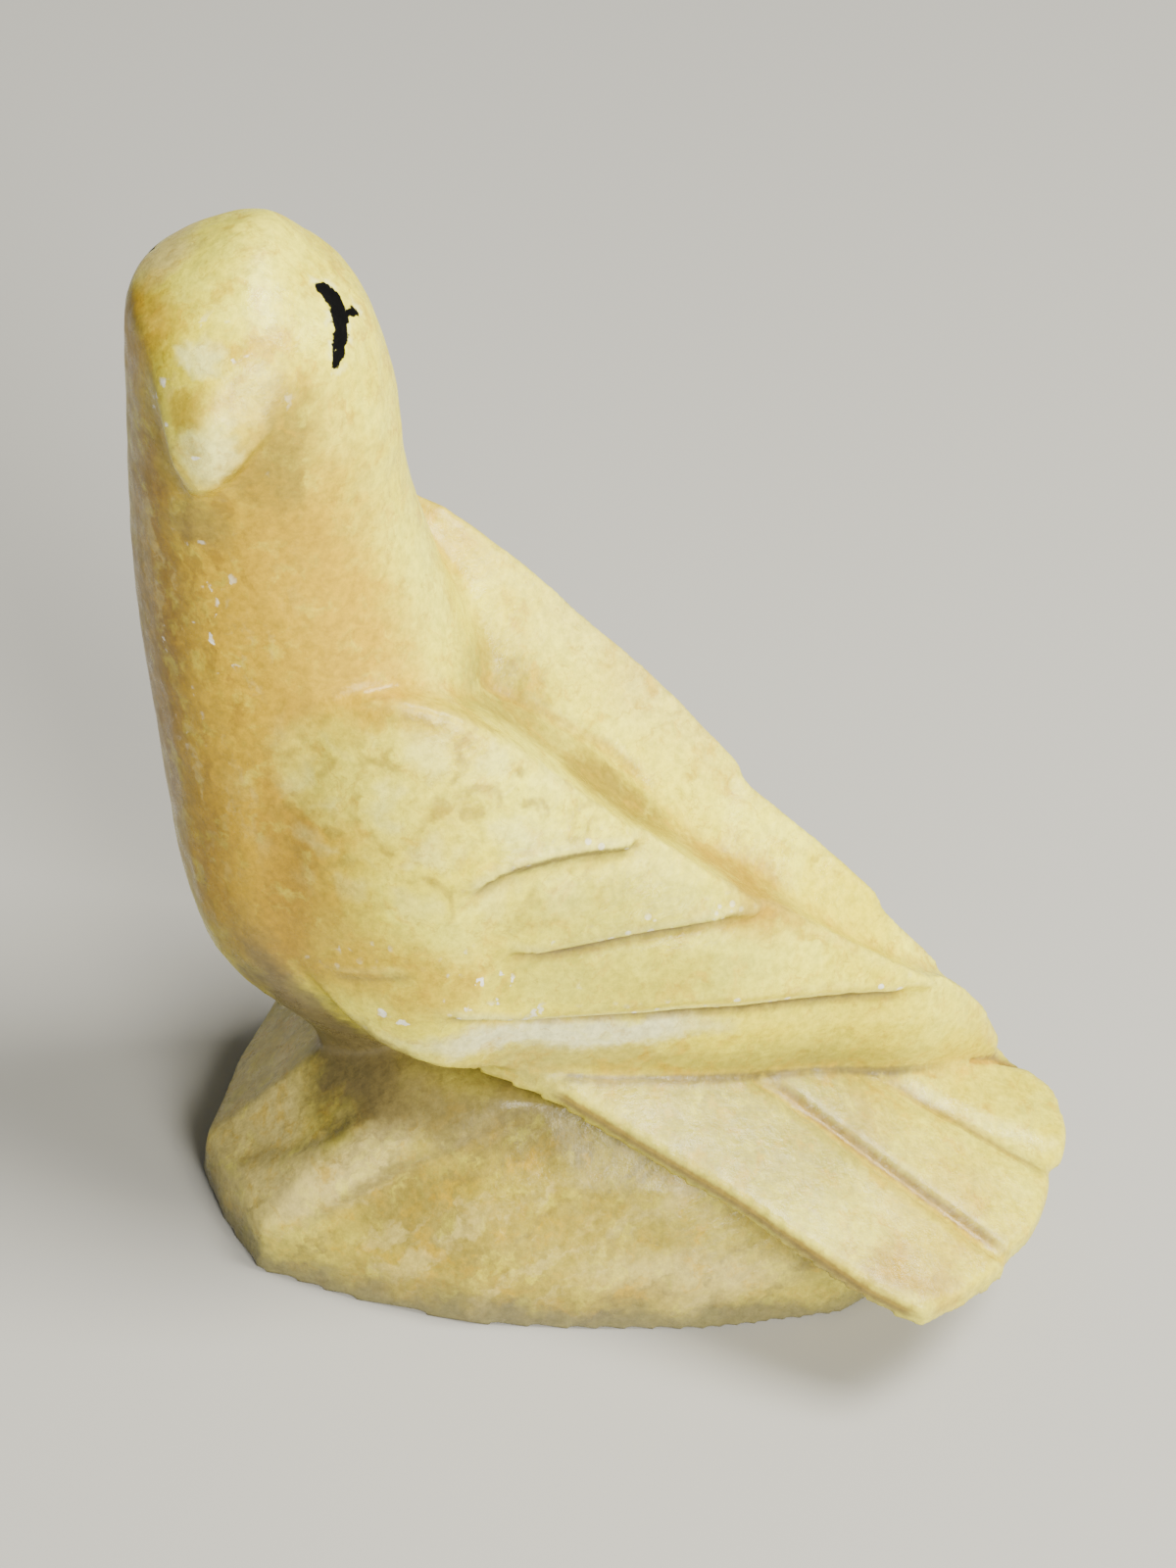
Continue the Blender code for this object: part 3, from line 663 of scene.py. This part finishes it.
def addKnifeLines(tree, colour, place, attributes):
    reach = lineSettings["unsteady"]
    unsteady = mathOf(tree, "MULTIPLY_ADD", noiseOf(tree, place, 2.5, 3.0, 0.6), reach, -0.5 * reach)
    gap = mathOf(tree, "ADD", attributes["lineGap"], unsteady)
    lineColour = mixColour(tree, attributes["tintLine"], stoneColours["olive"], stoneColours["orange"])
    # the line, partly dirt in the cut and partly painted shade
    line = product(tree, rampOf(tree, gap, *lineSettings["line"]), attributes["darkLine"])
    colour = mixColour(tree, line, colour, lineColour)
    # painted shadow on the low side
    shadow = product(tree, rampOf(tree, gap, *lineSettings["shadow"]), attributes["darkLine"],
                     rampOf(tree, attributes["lineSide"], *lineSettings["lowSide"]),
                     lineSettings["shadowStrength"])
    colour = mixColour(tree, shadow, colour, stoneColours["olive"])
    # painted highlight along the pale high edge
    edge = product(tree, rampOf(tree, attributes["lineGap"], *lineSettings["edgeOutside"]),
                   rampOf(tree, attributes["lineGap"], *lineSettings["edgeInside"]),
                   rampOf(tree, attributes["lineSide"], *lineSettings["highSide"]),
                   attributes["paleLine"], lineSettings["edgeStrength"])
    return mixColour(tree, edge, colour, stoneColours["white"])


def paintedGlintMask(tree, place, wandered, attributes):
    # painted glints, bright specks painted as highlights: in a row above the feather lines and loose in the
    # glint zones
    row = product(tree, rampOf(tree, cellsOf(tree, place, 1.7), 0.30, 0.20),
                  rampOf(tree, attributes["lineGap"], *lineSettings["glintGap"]), attributes["paleLine"],
                  rampOf(tree, attributes["lineSide"], *lineSettings["highSide"]),
                  rampOf(tree, noiseOf(tree, place, 0.5, 2.0), 0.42, 0.50))
    loose = product(tree, rampOf(tree, cellsOf(tree, wandered, 1.1), 0.26, 0.16),
                    rampOf(tree, noiseOf(tree, place, 0.45, 2.0, 0.5, 0.7), 0.50, 0.58))
    paintedGlints = row
    for zone in paintedGlintZones:
        share = product(tree, loose, zoneOf(tree, place, zone["at"], zone["size"]))
        paintedGlints = mathOf(tree, "MAXIMUM", paintedGlints, share)
    return paintedGlints


def inkMasks(tree, place, piece):
    # the ink itself and the scratched stone round it
    ink = 0.0
    halo = 0.0
    for stroke in inkStrokes:
        for (start, startWidth), (end, endWidth) in zip(stroke, stroke[1:]):
            start = onSkin(piece, start)
            way = onSkin(piece, end) - start
            fromStart = vectorOf(tree, "SUBTRACT", place, tuple(start))
            travel = vectorOf(tree, "DOT_PRODUCT", fromStart, tuple(way / (way @ way)))
            travel = mathOf(tree, "MULTIPLY", travel, 1.0, clamp=True)
            gap = vectorOf(tree, "DISTANCE", fromStart, scaledVector(tree, tuple(way), travel))
            width = mathOf(tree, "MULTIPLY_ADD", travel, endWidth - startWidth, startWidth)
            beyond = mathOf(tree, "SUBTRACT", gap, width)
            ink = mathOf(tree, "MAXIMUM", rampOf(tree, beyond, 0.04, -0.04), ink)
            halo = mathOf(tree, "MAXIMUM", rampOf(tree, beyond, 0.45, 0.1), halo)
    return ink, halo


def soapstone(piece):
    material = bpy.data.materials.new("polishedSoapstone")
    material.use_nodes = True
    tree = material.node_tree
    shader = tree.nodes["Principled BSDF"]
    place = scaledVector(tree, addNode(tree, "ShaderNodeTexCoord").outputs["Object"], 1 / mm)
    wandered = strayed(tree, strayed(tree, place, 2.4, 3.0, 0.35), 0.45, 3.0, 1.2)
    attributes = {}
    for name in ("cuts", "folds", "lineGap", "lineSide", "darkLine", "paleLine", "tintLine"):
        attributes[name] = addNode(tree, "ShaderNodeAttribute", {"attribute_name": name}).outputs["Fac"]

    # the colour
    clouds = rampOf(tree, noiseOf(tree, wandered, 0.22, 5.0, 0.6), 0.38, 0.66)
    colour = mixColour(tree, clouds, stoneColours["cream"], stoneColours["pale"])
    colour = addPatches(tree, colour, wandered, patches)
    colour = addLayers(tree, colour, place, wandered, attributes)
    # painted shade under the bird, and the darker rim of the rock
    colour = addPatches(tree, colour, wandered, paintedShadeAndDarkRim)
    colour = addKnifeLines(tree, colour, place, attributes)
    paintedGlints = paintedGlintMask(tree, place, wandered, attributes)
    # painted glints over the colour
    colour = mixColour(tree, paintedGlints, colour, stoneColours["glint"])
    grain = rampOf(tree, noiseOf(tree, place, 2.6, 5.0, 0.7), 0.25, 0.75, stoneSettings["darkGrain"],
                   stoneSettings["brightGrain"])
    colour = scaledVector(tree, colour, grain)
    ink, halo = inkMasks(tree, strayed(tree, place, 2.6, 4.0, 0.34), piece)
    halo = product(tree, halo, rampOf(tree, noiseOf(tree, place, 1.6, 3.0), 0.45, 0.6, 0.0, 0.8))
    colour = mixColour(tree, halo, colour, stoneColours["white"])
    colour = mixColour(tree, ink, colour, stoneColours["ink"])
    tree.links.new(colour, shader.inputs["Base Color"])

    # the polish
    wear = rampOf(tree, noiseOf(tree, place, 0.9, 4.0, 0.6), 0.3, 0.7, stoneSettings["smoothest"],
                  stoneSettings["roughest"])
    rough = mathOf(tree, "ADD", wear, product(tree, ink, stoneSettings["inkRoughness"]))
    rough = mathOf(tree, "SUBTRACT", rough, product(tree, paintedGlints, stoneSettings["glintPolish"]), clamp=True)
    tree.links.new(rough, shader.inputs["Roughness"])
    inkGloss = stoneSettings["inkGloss"] - stoneSettings["gloss"]
    gloss = mathOf(tree, "MULTIPLY_ADD", ink, inkGloss, stoneSettings["gloss"])
    tree.links.new(gloss, shader.inputs["Specular IOR Level"])
    shader.inputs["IOR"].default_value = stoneSettings["refraction"]

    # the fine relief
    fine = product(tree, noiseOf(tree, place, 4.5, 5.0, 0.65), stoneSettings["grainShare"])
    scratched = mappedPlace(tree, place, turned=(35, 10, 20), size=(1.0, 7.0, 1.0))
    scratches = product(tree, noiseOf(tree, scratched, 3.0, 3.0, 0.6), stoneSettings["scratchShare"])
    bump = addNode(tree, "ShaderNodeBump", Height=mathOf(tree, "ADD", fine, scratches),
                   Strength=stoneSettings["reliefStrength"], Distance=stoneSettings["reliefHeight"] * mm)
    tree.links.new(bump.outputs[0], shader.inputs["Normal"])
    return material


# the studio, in metres and degrees
studioSettings = {
    "floorSize": 1.2,
    "floorColour": (0.45, 0.445, 0.43),
    "floorRoughness": 0.6,
    "cameraAt": (0.11398, 0.00552, 0.12495),
    "cameraTurned": (47.802, -5.011, 97.528),
    "cameraLens": 87.114,
    "skyColour": (0.98, 0.99, 1.0),
    "skyStrength": 0.15,
    "aimHeight": 0.02,
}

# soft boxes that point at the bird: where, size, power and colour
softBoxes = [
    {"name": "overheadBox", "at": (-0.02, 0.16, 0.34), "size": 0.15, "power": 2.45,
     "colour": (1.0, 0.97, 0.86)},
    {"name": "cameraSideBox", "at": (0.27, 0.19, 0.22), "size": 0.18, "power": 2.6,
     "colour": (1.0, 0.97, 0.86)},
]


def buildStudio():
    bpy.ops.object.select_all(action="DESELECT")
    bpy.ops.mesh.primitive_plane_add(size=studioSettings["floorSize"], location=(0, 0, 0))
    floor = bpy.context.object
    floor.name = "paleFloor"
    paint = bpy.data.materials.new("palePaint")
    paint.use_nodes = True
    shader = paint.node_tree.nodes["Principled BSDF"]
    shader.inputs["Base Color"].default_value = (*studioSettings["floorColour"], 1)
    shader.inputs["Roughness"].default_value = studioSettings["floorRoughness"]
    floor.data.materials.append(paint)
    for box in softBoxes:
        bpy.ops.object.light_add(type="AREA", location=box["at"])
        light = bpy.context.object
        light.name = box["name"]
        light.data.size = box["size"]
        light.data.energy = box["power"]
        light.data.color = box["colour"]
        aim = -light.location
        aim.z = aim.z + studioSettings["aimHeight"]
        light.rotation_euler = aim.to_track_quat("-Z", "Y").to_euler()
    world = bpy.data.worlds.new("studioSky")
    world.use_nodes = True
    background = world.node_tree.nodes["Background"]
    background.inputs["Color"].default_value = (*studioSettings["skyColour"], 1)
    background.inputs["Strength"].default_value = studioSettings["skyStrength"]
    bpy.context.scene.world = world
    bpy.ops.object.camera_add(location=studioSettings["cameraAt"])
    camera = bpy.context.object
    camera.name = "photoCamera"
    camera.rotation_euler = [math.radians(angle) for angle in studioSettings["cameraTurned"]]
    camera.data.lens = studioSettings["cameraLens"]
    camera.data.clip_start = 0.01
    bpy.context.scene.camera = camera


buildStudio()
print("studio ready")
bird = carveBird()
print("bird carved:", len(bird.data.polygons), "faces")
bird.data.materials.append(soapstone(bird))
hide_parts("bird_on_rock")
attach(bird, "root")
print("stone dressed")
